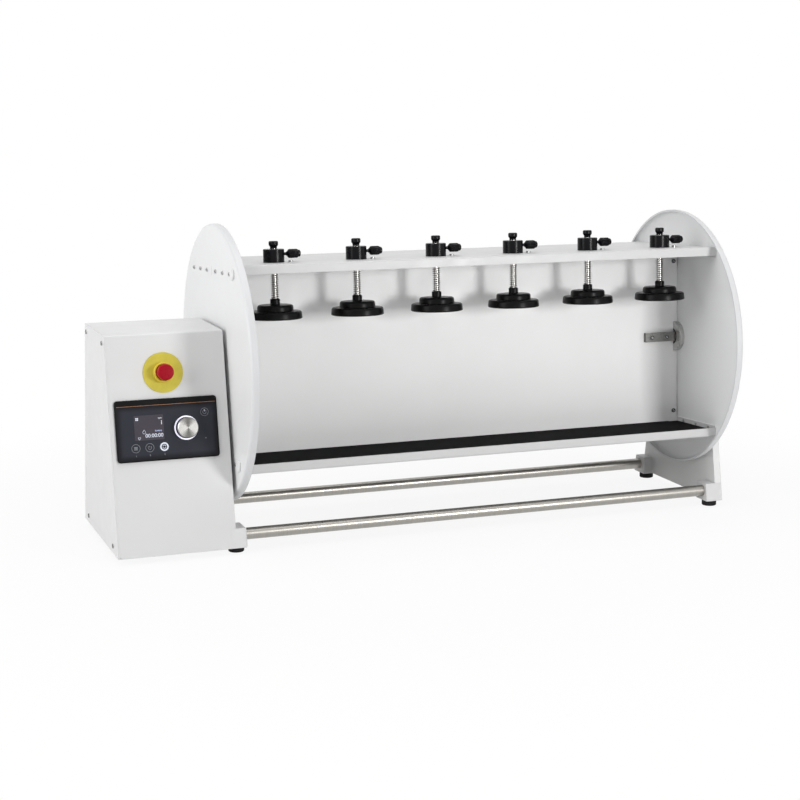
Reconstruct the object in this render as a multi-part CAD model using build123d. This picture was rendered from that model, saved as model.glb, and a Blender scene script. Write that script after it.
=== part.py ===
from build123d import *
import os
from math import sqrt

# Overhead bottle rotator: a drive housing on the left, a stand on the right, two rods that
# join them, and between them a rotor of two discs, two trays and a middle partition.
# Twelve spring clamps hold bottles, six against the front half and six against the rear half.
# Millimetres. X runs along the rotor axis, +Z is up, and the front with the controls is at -Y.
# The origin is on the bench, under the middle of the machine.

# ---------------------------------------------------------------- overall layout
housing_width = 178.0       # along X
housing_gap = 6.0           # housing to left disc
stand_gap = 7.0             # right disc to stand
stand_thickness = 12.0
axis_height = 270.0         # rotor axis above the bench
foot_height = 10.0
park_angle = -3.0           # degrees about X at which the rotor is parked
slip_gap = 0.05             # radial clearance of a shaft or pin that turns or slides

# ---------------------------------------------------------------- sheet metal
sheet = 2.0                 # trays, stand, housing and partition brackets
disc_radius = 213.0
disc_depth = 12.0           # rim, measured from the outer face
disc_bend = 5.0
disc_cove = 7.5             # inside radius between rim and plate
rim_thickness = 3.0
partition_thickness = 3.0

# ---------------------------------------------------------------- trays and mats
tray_height = 155.0         # rotor axis to the outer face of a tray
tray_half_depth = 130.0
tray_flange = 14.0
tray_end_flange = 17.0
tray_bend = 3.0
mat_thickness = 8.5
mat_margin = 2.0            # mat to tray flange

# ---------------------------------------------------------------- rotor hub
shaft_radius = 10.0
tongue_length = 55.0        # milled end of a shaft, screwed to the partition
tongue_height = 15.0
tongue_front = 8.5
hub_radius = 24.5
hub_thickness = 9.0
hub_notch_gap = 0.5         # hub flange to the notch in the partition
tab_length = 16.0           # welded tabs on the discs that carry the partition's corners
tab_height = 20.0
tab_level = 127.0
tongue_screws = (0.2, 0.7)  # screw places from a tongue's tip, as shares of its length

# ---------------------------------------------------------------- clamps
clamp_count = 6
clamp_pitch = 130.5
clamp_end_room = 77.25      # first or last clamp to the outer face of its disc
clamp_offset = 76.0         # clamp axis to the partition plane
clamp_radius = 15.9
clamp_height = 20.0
clamp_cross = 12.4          # thumbscrew above the tray
rod_radius = 4.0
pad_level = 70.0            # rotor axis to a pad's pressing face, spring relaxed
pad_radius = 39.5
pad_flare = 1.0
pad_thickness = 12.0
pad_step_radius = 27.5
pad_step = 9.5
pad_round = 3.0             # rounding of the lower step
pad_crown = 4.5             # rounding of the upper step
pad_hub_radius = 7.5
pad_hub_height = 8.5
pad_lip = 1.5               # straight edge at the pad's pressing face
clamp_chamfer = 0.8
knob_radius = 7.2
knob_height = 7.5
knob_neck_radius = 5.3
knob_neck = 4.5
knob_gap = 0.5              # clamp body to the knob's neck, rod down
knob_slope = 2.0
knob_edge = 1.5
spring_outer = 6.1
spring_inner = 4.9
screw_neck_radius = 2.2
screw_grip_radius = 6.9
screw_grip_length = 19.5
screw_grip_gap = 6.0        # clamp body to grip
screw_tip_gap = 0.5         # tip to the clamp's rod, loosened
screw_cone = 3.0            # cone between neck and grip
grip_crown = 4.0            # rounded end of the grip

# ---------------------------------------------------------------- drive housing
housing_rise = 61.5         # top of the housing above the rotor axis
housing_top_depth = 148.0
housing_bottom_depth = 268.0
housing_bend = 3.0
return_flange = 22.0
shaft_clearance = 4.0       # shaft to the holes in housing and stand
window_margin = 8.0         # control panel to the cut-out behind it

# ---------------------------------------------------------------- controls, on the sloping front
panel_width = 153.0
panel_height = 91.0
panel_thickness = 3.0
panel_corner = 5.0
panel_chamfer = 0.5
panel_left = 8.0            # from the housing's left face
panel_down = 96.0           # from the top front edge, along the slope
dial_across = 112.8         # from the housing's left face
dial_down = 141.4
dial_radius = 16.0
dial_height = 12.0
dial_lift = 1.6             # under the dial, so that it can be pressed
dial_chamfer = 1.0
dial_bore_share = 0.6       # depth of the stem's bore as a share of the dial's height
dial_stem_radius = 4.0
dial_stem_depth = 14.0      # stem behind the housing's face
dial_flange = 2.0           # collar at the stem's end, its height
dial_flange_reach = 1.5     # and how far it stands out
dial_seat_wall = 5.0
dial_seat_play = 1.2        # travel of the flange in the seat
ring_radius = 19.0
ring_width = 2.4
ring_height = 0.8
stop_across = 84.0
stop_down = 58.0
stop_plate_radius = 30.0
stop_plate_thickness = 1.2
stop_collar_radius = 15.0
stop_collar_height = 9.0
stop_collar_wall = 2.4
stop_collar_floor = 1.5
stop_body_wall = 4.5        # threaded body behind the wall
stop_hole_wall = 5.0        # stem to the hole in housing and legend plate
stop_crown = 5.0            # button above its stem
stop_round = 3.0
stop_skirt = 17.0           # height of the button's side
stop_button_radius = 12.0
stop_button_top = 24.0
stop_stem_radius = 6.0
stop_stem_depth = 24.0

# ---------------------------------------------------------------- base
block_back = 93.0           # inner faces of the foot blocks from the middle plane
block_round = 3.0           # edges of a block's free end
left_block_inside = 7.5     # part of a left block that sits inside the housing
left_block_outside = 17.0
right_block_inside = 17.0   # from the stand's inner face towards the housing
block_height = 29.0
rod_offset = 111.5          # base rods from the middle plane
rod_height = 25.6           # base rods above the bench
base_rod_radius = 9.0
rod_socket = 14.0
foot_radius = 12.0
foot_taper = 1.0
rear_foot_offset = 72.0     # feet under the housing's left end, from the middle plane
rear_foot_inset = 24.0
stand_bottom_half = 128.5
stand_slope = 0.177
stand_rise = 60.0           # top of the stand above the rotor axis
stand_corner = 34.0
bearing_radius = 28.0
left_bearing_length = 16.0

# ---------------------------------------------------------------- drive inside the housing
driven_pulley_radius = 45.0
motor_pulley_radius = 15.0
pulley_width = 18.0
pulley_lip = 2.5
belt_thickness = 3.0
belt_width = 14.0
belt_gap = 0.4
pulley_gap = 5.0            # left bearing to the driven pulley
shaft_end = 3.0             # shaft past the driven pulley
motor_drop = 150.0          # rotor axis to motor axis
motor_radius = 36.0
motor_length = 70.0
gearbox_size = 84.0
gearbox_length = 38.0
gearbox_gap = 4.0
gearbox_round = 8.0
motor_shaft_radius = 6.0
motor_shaft_share = 0.6     # length of the shaft's bore as a share of the gearbox's length
motor_shaft_play = 0.5
bracket_thickness = 4.0
bracket_foot = 12.0

# ---------------------------------------------------------------- mains inlet on the rear slope
inlet_across = 42.0         # inlet module's middle from the housing's left face
inlet_up = 52.0             # along the rear slope from its bottom edge
inlet_width = 58.0
inlet_height = 32.0
inlet_plate = 2.5
inlet_depth = 26.0
socket_width = 25.0
socket_height = 17.0
socket_depth = 18.0
socket_chamfer = 4.0
pin_length = 11.0
pin_thickness = 2.0
pin_width = 4.0
pin_pitch = 7.0             # outer pins from the socket's middle
pin_offset = 2.0            # outer pins below and earth pin above the middle
inlet_lip = 4.0             # face plate past the body, left and right
inlet_lip_high = 3.0        # face plate past the body, above and below
inlet_corner = 3.0
socket_margin = 8.0         # socket to the face plate's end
rocker_margin = 6.0         # rocker to the face plate's end
rocker_width = 12.0
rocker_height = 22.0
rocker_rise = 3.6           # rocker's ends above its pivot's face
rocker_dip = 1.6            # rocker's middle, the same way
rocker_depth = 4.0
rocker_gap = 0.5            # rocker to its well, at each side
rocker_end_gap = 1.0
rocker_well = 14.0
rocker_pivot = 2.0          # rocker pivot below the module's face
rocker_tilt = 8.0           # off side down, on side the same amount the other way

# ---------------------------------------------------------------- screws
screw_radius = 2.0
screw_head_radius = 3.6
disc_screw_head = 3.0       # radius of the heads in the discs
screw_head = 2.2
screw_point = 2.0           # screw past the last sheet
disc_screw_rows = (26.5, 68.0, 109.5)
disc_screw_level = 142.0
clamp_screw_offset = 26.5
plug_radius = 9.5
plug_offset = 125.0
plug_bulge = 2.2
plug_edge = 0.8
cover_screw_inset = 12.0
cover_screw_length = 7.0

# ---------------------------------------------------------------- places worked out from the above
housing_top = axis_height + housing_rise
housing_height = housing_top - foot_height
rotor_length = clamp_pitch * (clamp_count - 1) + 2 * clamp_end_room
overall_length = housing_width + housing_gap + rotor_length + stand_gap + stand_thickness
housing_left = -overall_length / 2
housing_right = housing_left + housing_width
rotor_left = housing_right + housing_gap
rotor_right = rotor_left + rotor_length
rotor_middle = (rotor_left + rotor_right) / 2
stand_inner = rotor_right + stand_gap
stand_outer = stand_inner + stand_thickness
tray_inner = tray_height - sheet
clamp_base = tray_height
clamp_top = clamp_base + clamp_height
clamp_screw_level = clamp_base + clamp_cross
pad_top = pad_level + pad_thickness + pad_step + pad_hub_height
first_clamp = rotor_middle - clamp_pitch * (clamp_count - 1) / 2
clamp_places = [first_clamp + clamp_pitch * i for i in range(clamp_count)]
slope_run = (housing_bottom_depth - housing_top_depth) / 2
slope_length = sqrt(slope_run ** 2 + housing_height ** 2)
bearing_left = housing_right - sheet - left_bearing_length
pulley_right = bearing_left - pulley_gap
pulley_left = pulley_right - pulley_width
motor_height = axis_height - motor_drop
rotor_place = Pos(0, 0, axis_height) * Rot(park_angle, 0, 0)


# ---------------------------------------------------------------- small helpers
def block(x0, x1, y0, y1, z0, z1):
    """Box between two corners."""
    return Pos((x0 + x1) / 2, (y0 + y1) / 2, (z0 + z1) / 2) * Box(x1 - x0, y1 - y0, z1 - z0)


def x_rod(x0, x1, radius, y=0.0, z=0.0):
    """Cylinder along X."""
    return Pos((x0 + x1) / 2, y, z) * Rot(0, 90, 0) * Cylinder(radius, x1 - x0)


def z_rod(z0, z1, radius, x=0.0, y=0.0):
    """Cylinder along Z."""
    return Pos(x, y, (z0 + z1) / 2) * Cylinder(radius, z1 - z0)


def turned(points):
    """Solid turned about Z from (radius, height) points."""
    profile = make_face(Polyline([(r, 0, z) for r, z in points], close=True))
    return revolve(profile, Axis.Z, 360)


def across(shape):
    """The same shape turned from Z to X."""
    return Rot(0, 90, 0) * shape


def side_profile(bottom_half, top_half, z0, z1, x):
    """Symmetric tapering outline in the YZ plane at x."""
    points = [(x, -bottom_half, z0), (x, bottom_half, z0), (x, top_half, z1), (x, -top_half, z1)]
    return make_face(Polyline(points, close=True))


def front_slope(across_left, down):
    """Plane on the sloping front: local X to the right, local Y up the slope, Z outwards."""
    t = down / slope_length
    y = -housing_top_depth / 2 - slope_run * t
    z = housing_top - housing_height * t
    normal = (0, -housing_height, slope_run)
    return Plane(origin=(housing_left + across_left, y, z), x_dir=(1, 0, 0), z_dir=normal)


def rear_slope(across_left, up):
    """Plane on the sloping rear: local X to the left, local Y up the slope, Z outwards."""
    t = up / slope_length
    y = housing_bottom_depth / 2 - slope_run * t
    z = foot_height + housing_height * t
    normal = (0, housing_height, slope_run)
    return Plane(origin=(housing_left + across_left, y, z), x_dir=(-1, 0, 0), z_dir=normal)


def screw(head, head_height, shank, length):
    """Pan-head screw along Z: head above 0, shank below."""
    return z_rod(0, head_height, head) + z_rod(-length, 0, shank)


# ---------------------------------------------------------------- rotor, about its own axis
def disc(outer, inward):
    """Pan-shaped end disc; its outer face is at x = outer and its rim points inward."""
    r = disc_radius
    wall = r - rim_thickness
    with BuildSketch(Plane.XZ) as profile:
        with BuildLine():
            Line((0, 0), (r - disc_bend, 0))
            RadiusArc((r - disc_bend, 0), (r, disc_bend), -disc_bend)
            Line((r, disc_bend), (r, disc_depth))
            Line((r, disc_depth), (wall, disc_depth))
            Line((wall, disc_depth), (wall, sheet + disc_cove))
            RadiusArc((wall, sheet + disc_cove), (wall - disc_cove, sheet), disc_cove)
            Line((wall - disc_cove, sheet), (0, sheet))
            Line((0, sheet), (0, 0))
        make_face()
    pan = revolve(profile.sketch, Axis.Z, 360)
    pan -= z_rod(0, sheet, shaft_radius)
    pan = Pos(outer, 0, 0) * Rot(0, 90 * inward, 0) * pan
    inner = outer + inward * sheet
    for level in (-disc_screw_level, disc_screw_level):
        for row in disc_screw_rows:
            for y in (-row, row):
                pan -= x_rod(min(outer, inner), max(outer, inner), screw_radius, y, level)
    for level in (-tab_level, tab_level):
        low, high = level - tab_height / 2, level + tab_height / 2
        reach = inner + inward * tab_length
        near = partition_thickness / 2
        tab = block(min(inner, reach), max(inner, reach), near, near + sheet, low, high)
        hole_x = inner + inward * (tab_length / 2 + sheet / 2)
        tab -= Pos(hole_x, near + sheet / 2, level) * Rot(90, 0, 0) * Cylinder(screw_radius, sheet)
        pan += tab
    return pan


def tray(sign):
    """Folded tray; sign +1 is the top one, and its flanges point to the axis."""
    x0, x1 = rotor_left + sheet, rotor_right - sheet
    outer = block(x0, x1, -tray_half_depth, tray_half_depth, tray_height - tray_flange, tray_height)
    long_edges = outer.edges().filter_by(Axis.X).group_by(Axis.Z)[-1]
    outer = fillet(long_edges, tray_bend)
    hollow = block(x0 - 1, x1 + 1, sheet - tray_half_depth, tray_half_depth - sheet, 0, tray_inner)
    body = outer - hollow
    corner = tray_half_depth - tray_bend
    for end in (x0, x1 - sheet):
        body += block(end, end + sheet, -corner, corner, tray_height - tray_end_flange, tray_inner)
    for end in (x0, x1 - sheet):
        for row in disc_screw_rows:
            for y in (-row, row):
                body -= x_rod(end, end + sheet, screw_radius, y, disc_screw_level)
    for x in clamp_places:
        body -= z_rod(tray_inner, tray_height, rod_radius + slip_gap, x, -clamp_offset)
        place = x + clamp_screw_offset
        body -= z_rod(tray_inner, tray_height, screw_radius, place, -clamp_offset)
    return body if sign > 0 else Rot(180, 0, 0) * body


def partition():
    """Middle panel between the two halves, drilled for the corner and shaft screws."""
    x0, x1 = rotor_left + 2 * sheet, rotor_right - 2 * sheet
    half = partition_thickness / 2
    panel = block(x0, x1, -half, half, -tray_inner, tray_inner)
    notch = hub_radius + hub_notch_gap
    reach = sheet + hub_thickness
    panel -= block(x0, rotor_left + reach, -half, half, -notch, notch)
    panel -= block(rotor_right - reach, x1, -half, half, -notch, notch)
    for x, z in corner_screw_places() + tongue_screw_places():
        panel -= Pos(x, 0, z) * Rot(90, 0, 0) * Cylinder(screw_radius, partition_thickness)
    return panel


def corner_screw_places():
    """Screws that hold the partition's corners to the discs' tabs."""
    inset = sheet + tab_length / 2 + sheet / 2
    ends = (rotor_left + inset, rotor_right - inset)
    return [(x, z) for x in ends for z in (-tab_level, tab_level)]


def tongue_screw_places():
    """Screws that hold the shafts' milled tongues to the partition."""
    start = hub_thickness + sheet + tongue_length
    steps = [start - tongue_length * share for share in tongue_screws]
    return [(rotor_left + s, 0) for s in steps] + [(rotor_right - s, 0) for s in steps]


def mat(sign):
    """Foam mat in a tray: -1 on the bottom tray's front half, +1 under the top tray's rear half."""
    x0, x1 = rotor_left + 2 * sheet + mat_margin, rotor_right - 2 * sheet - mat_margin
    y0, y1 = partition_thickness / 2 + mat_margin, tray_half_depth - sheet - mat_margin
    body = block(x0, x1, y0, y1, tray_inner - mat_thickness, tray_inner)
    body -= block(x0 - 1, x0 + tab_length, y0 - 1, y0 + 2 * sheet, 0, tray_inner)
    body -= block(x1 - tab_length, x1 + 1, y0 - 1, y0 + 2 * sheet, 0, tray_inner)
    return body if sign > 0 else Rot(180, 0, 0) * body


def shaft(disc_outer, inward, far_end):
    """Stub shaft through a disc, with a milled tongue in front of the partition."""
    root = disc_outer + inward * (sheet + hub_thickness)
    tip = root + inward * tongue_length
    near = partition_thickness / 2
    half = tongue_height / 2
    body = x_rod(min(far_end, root), max(far_end, root), shaft_radius)
    body += block(min(root, tip), max(root, tip), -tongue_front, -near, -half, half)
    for x, z in tongue_screw_places():
        if min(root, tip) < x < max(root, tip):
            depth = tongue_front - near
            hole = Rot(90, 0, 0) * Cylinder(screw_radius, depth)
            body -= Pos(x, -near - depth / 2, z) * hole
    return body


def hub(disc_outer, inward):
    """Flange ring that clamps a shaft to its disc."""
    start = disc_outer + inward * sheet
    end = start + inward * hub_thickness
    ring = x_rod(min(start, end), max(start, end), hub_radius)
    return ring - x_rod(min(start, end), max(start, end), shaft_radius)


# ---------------------------------------------------------------- clamps, standing on the top tray
def clamp_body():
    """Guide of one clamp, bored for the rod and cross-bored for the thumbscrew."""
    body = z_rod(clamp_base, clamp_top, clamp_radius)
    body = chamfer(body.edges().group_by(Axis.Z)[-1], clamp_chamfer)
    body -= z_rod(clamp_base, clamp_top, rod_radius + slip_gap)
    body -= x_rod(0, clamp_radius, screw_neck_radius + slip_gap, 0, clamp_screw_level)
    return body


def plunger():
    """Pad, steel rod and pull knob of one clamp."""
    top = pad_level + pad_thickness
    step_top = top + pad_step
    wide = pad_radius + pad_flare
    socket = step_top - pad_step / 2
    pad = turned([
        (0, pad_level), (wide, pad_level), (wide, pad_level + pad_lip), (pad_radius, top - pad_round),
        (pad_radius - pad_round, top), (pad_step_radius, top),
        (pad_step_radius, step_top - pad_crown), (pad_step_radius - pad_crown, step_top),
        (pad_hub_radius, step_top), (pad_hub_radius, pad_top - 1), (pad_hub_radius - 1, pad_top),
        (rod_radius, pad_top), (rod_radius, socket), (0, socket)])
    stop = clamp_top + knob_neck
    rod = z_rod(socket, stop, rod_radius)
    cap = stop + knob_height
    start = clamp_top + knob_gap
    knob = turned([
        (rod_radius, start), (knob_neck_radius, start), (knob_neck_radius, stop),
        (knob_radius, stop + knob_slope), (knob_radius, cap - knob_edge),
        (knob_radius - knob_edge, cap), (0, cap),
        (0, stop), (rod_radius, stop)])
    return [pad, rod, knob]


def spring():
    """Envelope of a clamp's coil spring."""
    return z_rod(pad_top, tray_inner, spring_outer) - z_rod(pad_top, tray_inner, spring_inner)


def thumbscrew():
    """Locking screw of one clamp: tip near the rod, ribbed grip outside, along +X."""
    tip = rod_radius + screw_tip_gap
    start = clamp_radius + screw_grip_gap
    end = start + screw_grip_length
    middle = (screw_neck_radius + screw_grip_radius) / 2
    grip = turned([
        (0, tip), (screw_neck_radius, tip), (screw_neck_radius, start - screw_cone),
        (middle, start), (screw_grip_radius, start + screw_cone / 2),
        (screw_grip_radius, end - grip_crown), (screw_grip_radius - grip_crown / 2, end - grip_crown / 4),
        (middle - grip_crown / 4, end), (0, end)])
    return Pos(0, 0, clamp_screw_level) * across(grip)


def on_rotor(shape):
    """Rotor part at its parked angle, at axis height."""
    return rotor_place * shape


def clamp_place(row, x):
    """Place of one clamp: row +1 stands on the top tray, row -1 hangs under the bottom tray."""
    front = Pos(x, -clamp_offset, 0)
    return front if row > 0 else Rot(180, 0, 0) * front


# ---------------------------------------------------------------- housing
def housing_shell():
    """Folded cover: front, top, rear and right wall, open at the left and below."""
    bottom, top = housing_bottom_depth / 2, housing_top_depth / 2
    left = housing_left + sheet
    face = side_profile(bottom, top, foot_height, housing_top, left)
    outer = extrude(face, housing_right - left, (1, 0, 0))
    ridge = outer.edges().filter_by(Axis.X).group_by(Axis.Z)[-1]
    outer = fillet(ridge, housing_bend)
    wall = sheet * slope_length / housing_height
    lean = slope_run / housing_height * sheet
    inner = side_profile(bottom - wall, top - wall + lean, foot_height, housing_top - sheet, left)
    cavity = extrude(inner, housing_width - 2 * sheet, (1, 0, 0))
    shell = outer - cavity
    rim = outer & block(left, left + sheet, -bottom, bottom, foot_height, housing_top)
    reach = return_flange
    low, high = foot_height + reach, housing_top - reach
    hole = side_profile(bottom - reach, top - reach, low, high, left - sheet / 2)
    rim -= extrude(hole, 2 * sheet, (1, 0, 0))
    shell += rim
    shell -= block(left, left + sheet, -bottom, bottom, foot_height, foot_height + sheet)
    for y, z in side_screw_places():
        shell -= x_rod(left, left + sheet, screw_radius, y, z)
    shell -= x_rod(housing_right - sheet, housing_right, shaft_radius + shaft_clearance, 0, axis_height)
    for place in (panel_window(), stop_hole(), inlet_hole()):
        shell -= place
    for side in (-1, 1):
        shell -= left_foot_block(side)
    return shell


def side_screw_places():
    """Screws at the corners of the left side plate."""
    high, low = housing_top - cover_screw_inset, foot_height + cover_screw_inset
    top = housing_top_depth / 2 - cover_screw_inset
    bottom = housing_bottom_depth / 2 - 3 * cover_screw_inset
    return [(y, high) for y in (-top, top)] + [(y, low) for y in (-bottom, bottom)]


def side_plate():
    """Left side plate over the housing's open side."""
    half, top = housing_bottom_depth / 2, housing_top_depth / 2
    plate = extrude(side_profile(half, top, foot_height, housing_top, housing_left), sheet, (1, 0, 0))
    plate = fillet(plate.edges().filter_by(Axis.X).group_by(Axis.Z)[-1], housing_bend)
    for y, z in side_screw_places():
        plate -= x_rod(housing_left, housing_left + sheet, screw_radius, y, z)
    return plate


def side_screws():
    """Flush socket screws of the side plate."""
    bodies = []
    for y, z in side_screw_places():
        bodies.append(x_rod(housing_left, housing_left + cover_screw_length, screw_radius, y, z))
    return bodies


def base_plate():
    """Bottom plate between the housing's walls, notched for the left foot blocks."""
    half = housing_bottom_depth / 2
    wall = sheet * slope_length / housing_height
    lean = slope_run / housing_height * sheet
    x0, x1 = housing_left + sheet, housing_right - sheet
    profile = side_profile(half - wall, half - wall - lean, foot_height, foot_height + sheet, x0)
    plate = extrude(profile, x1 - x0, (1, 0, 0))
    for side in (-1, 1):
        plate -= left_foot_block(side)
    return plate


def panel_window():
    """Cut-out behind the control panel."""
    place = front_slope(panel_left + panel_width / 2, panel_down + panel_height / 2)
    size = Box(panel_width - 2 * window_margin, panel_height - 2 * window_margin, 4 * sheet)
    return place * size


def stop_hole():
    """Round hole for the emergency stop's body."""
    return front_slope(stop_across, stop_down) * Cylinder(stop_stem_radius + stop_hole_wall, 4 * sheet)


def inlet_hole():
    """Cut-out for the mains inlet module."""
    place = rear_slope(inlet_across, inlet_up)
    return place * Box(inlet_width - 2 * inlet_lip, inlet_height - 2 * inlet_lip_high, 4 * sheet)


# ---------------------------------------------------------------- controls
def control_panel():
    """Glass control panel with the hole for the dial's stem."""
    place = front_slope(panel_left + panel_width / 2, panel_down + panel_height / 2)
    plate = Pos(0, 0, panel_thickness / 2) * Box(panel_width, panel_height, panel_thickness)
    plate = fillet(plate.edges().filter_by(Axis.Z), panel_corner)
    plate = chamfer(plate.faces().sort_by(Axis.Z)[-1].edges(), panel_chamfer)
    stem = front_slope(dial_across, dial_down) * z_rod(0, panel_thickness, dial_stem_radius + slip_gap)
    return place * plate - stem


def light_ring():
    """Ring that glows around the dial."""
    base = panel_thickness
    ring = z_rod(base, base + ring_height, ring_radius)
    ring -= z_rod(base, base + ring_height, ring_radius - ring_width)
    return front_slope(dial_across, dial_down) * ring


def dial_stem():
    """Encoder stem of the dial, which is pressed to confirm."""
    low = -dial_stem_depth
    high = panel_thickness + dial_lift + dial_height * dial_bore_share
    body = z_rod(low, high, dial_stem_radius)
    body += z_rod(low, low + dial_flange, dial_stem_radius + dial_flange_reach)
    return front_slope(dial_across, dial_down) * body


def dial_seat():
    """Encoder housing behind the panel."""
    half = dial_stem_radius + dial_seat_wall
    low = -dial_stem_depth - dial_seat_play
    high = dial_flange - dial_stem_depth + dial_seat_play
    body = block(-half, half, -half, half, low - sheet / 2, 0)
    body -= z_rod(low, high, dial_stem_radius + dial_flange_reach + slip_gap)
    body -= z_rod(low, 0, dial_stem_radius + slip_gap)
    return front_slope(dial_across, dial_down) * body


def dial():
    """Turned aluminium dial."""
    base = panel_thickness + dial_lift
    body = z_rod(base, base + dial_height, dial_radius)
    body = chamfer(body.edges().group_by(Axis.Z)[-1], dial_chamfer)
    body -= z_rod(base, base + dial_height * dial_bore_share, dial_stem_radius + slip_gap)
    return front_slope(dial_across, dial_down) * body


def stop_plate():
    """Round legend plate of the emergency stop."""
    plate = z_rod(0, stop_plate_thickness, stop_plate_radius)
    plate -= z_rod(0, stop_plate_thickness, stop_stem_radius + stop_hole_wall)
    return front_slope(stop_across, stop_down) * plate


def stop_collar():
    """Collar around the button and the threaded body behind the housing wall."""
    base = stop_plate_thickness
    high = base + stop_collar_height
    collar = z_rod(base, high, stop_collar_radius)
    collar = chamfer(collar.edges().group_by(Axis.Z)[-1], stop_collar_wall / 2)
    collar -= z_rod(base + stop_collar_floor, high, stop_collar_radius - stop_collar_wall)
    body = collar + z_rod(-stop_stem_depth, base, stop_stem_radius + stop_body_wall)
    body -= z_rod(-stop_stem_depth, base + stop_collar_floor, stop_stem_radius + slip_gap)
    return front_slope(stop_across, stop_down) * body


def stop_stem():
    """Stem that the emergency stop's button pushes in."""
    high = stop_button_top - stop_crown
    return front_slope(stop_across, stop_down) * z_rod(-stop_stem_depth, high, stop_stem_radius)


def stop_button():
    """Red mushroom button, turned to release."""
    low = stop_button_top - stop_skirt
    body = z_rod(low, stop_button_top, stop_button_radius)
    body = fillet(body.edges().group_by(Axis.Z)[-1], stop_round)
    body -= z_rod(low, stop_button_top - stop_crown, stop_stem_radius + slip_gap)
    return front_slope(stop_across, stop_down) * body


# ---------------------------------------------------------------- mains inlet
def inlet_module():
    """Mains inlet with three pins and a frame for the power switch."""
    body = block(-inlet_width / 2, inlet_width / 2, -inlet_height / 2, inlet_height / 2, 0, inlet_plate)
    body = fillet(body.edges().filter_by(Axis.Z), inlet_corner)
    half_w, half_h = inlet_width / 2 - inlet_lip, inlet_height / 2 - inlet_lip_high
    body += block(-half_w, half_w, -half_h, half_h, -inlet_depth, 0)
    socket_x = inlet_width / 2 - socket_margin - socket_width / 2
    socket = block(-socket_width / 2, socket_width / 2, -socket_height / 2, socket_height / 2,
                   inlet_plate - socket_depth, inlet_plate)
    socket = chamfer(socket.edges().filter_by(Axis.Z).group_by(Axis.Y)[-1], socket_chamfer)
    body -= Pos(socket_x, 0, 0) * socket
    floor = inlet_plate - socket_depth
    half_t, half_p = pin_thickness / 2, pin_width / 2
    for x, y in ((-pin_pitch, -pin_offset), (pin_pitch, -pin_offset), (0, pin_offset)):
        pin = block(x - half_t, x + half_t, y - half_p, y + half_p, floor, floor + pin_length)
        body += Pos(socket_x, 0, 0) * pin
    half_w, half_h = rocker_width / 2 + rocker_gap, rocker_height / 2 + rocker_end_gap
    well = block(-half_w, half_w, -half_h, half_h, -rocker_well, inlet_plate)
    body -= Pos(rocker_across(), 0, 0) * well
    return rear_slope(inlet_across, inlet_up) * body


def rocker_across():
    """Rocker's middle across the inlet module."""
    return -(inlet_width / 2 - rocker_margin - rocker_width / 2)


def rocker():
    """Power rocker, pivoted below the module's face, with its off side down."""
    half = rocker_height / 2
    with BuildSketch(Plane.YZ) as profile:
        with BuildLine():
            low = half - rocker_depth / 2
            Polyline((-half, 0), (-low, -rocker_depth), (low, -rocker_depth), (half, 0))
            Line((half, 0), (half, rocker_rise))
            ThreePointArc((half, rocker_rise), (0, rocker_dip), (-half, rocker_rise))
            Line((-half, rocker_rise), (-half, 0))
        make_face()
    key = Pos(0, 0, rocker_pivot) * extrude(profile.sketch, rocker_width / 2, both=True)
    key = Pos(rocker_across(), 0, -rocker_pivot) * Rot(rocker_tilt, 0, 0) * key
    return rear_slope(inlet_across, inlet_up) * key


# ---------------------------------------------------------------- base
def foot_block(side, x0, x1, outline):
    """Foot block on one side, its outer face flush with the given tapering outline."""
    reach = side * housing_bottom_depth
    y0, y1 = sorted((side * block_back, reach))
    return outline & block(x0, x1, y0, y1, foot_height, foot_height + block_height)


def left_foot_block(side):
    """Foot block at the housing, flush with its front or rear and rounded at its free end."""
    x0, x1 = housing_right - left_block_inside, housing_right + left_block_outside
    half, top = housing_bottom_depth / 2, housing_top_depth / 2
    outline = extrude(side_profile(half, top, foot_height, housing_top, x0), x1 - x0, (1, 0, 0))
    body = foot_block(side, x0, x1, outline)
    return fillet(body.faces().sort_by(Axis.X)[-1].edges(), block_round)


def right_foot_block(side):
    """Foot block under the stand, flush with its front or rear edge."""
    x0 = stand_inner - right_block_inside
    return foot_block(side, x0, stand_outer, stand_outline(0, x0, stand_outer - x0))


def base_rod(side):
    """Rod between a left and a right foot block."""
    x0 = housing_right + left_block_outside - rod_socket
    x1 = stand_inner - right_block_inside + rod_socket
    return x_rod(x0, x1, base_rod_radius, side * rod_offset, rod_height)


def foot(x, y):
    """Rubber foot."""
    body = turned([(0, 0), (foot_radius - foot_taper, 0), (foot_radius, foot_taper),
                   (foot_radius, foot_height), (0, foot_height)])
    return Pos(x, y, 0) * body


def feet():
    """Feet under the four blocks and under the housing's left end."""
    left = housing_right + (left_block_outside - left_block_inside) / 2
    right = (stand_inner - right_block_inside + stand_outer) / 2
    far = housing_left + rear_foot_inset
    middle = (block_back + stand_bottom_half) / 2
    places = [(x, side * middle) for x in (left, right) for side in (-1, 1)]
    places += [(far, side * rear_foot_offset) for side in (-1, 1)]
    return [foot(x, y) for x, y in places]


def stand_outline(shrink, x, depth):
    """Tapering outline of the stand, pulled in by shrink, as a solid from x."""
    bottom = foot_height
    top = axis_height + stand_rise
    half_top = stand_bottom_half - stand_slope * (top - bottom)
    face = side_profile(stand_bottom_half - shrink, half_top - shrink, bottom + shrink, top - shrink, x)
    solid = extrude(face, depth, (1, 0, 0))
    return fillet(solid.edges().filter_by(Axis.X).group_by(Axis.Z)[-1], stand_corner - shrink)


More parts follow.
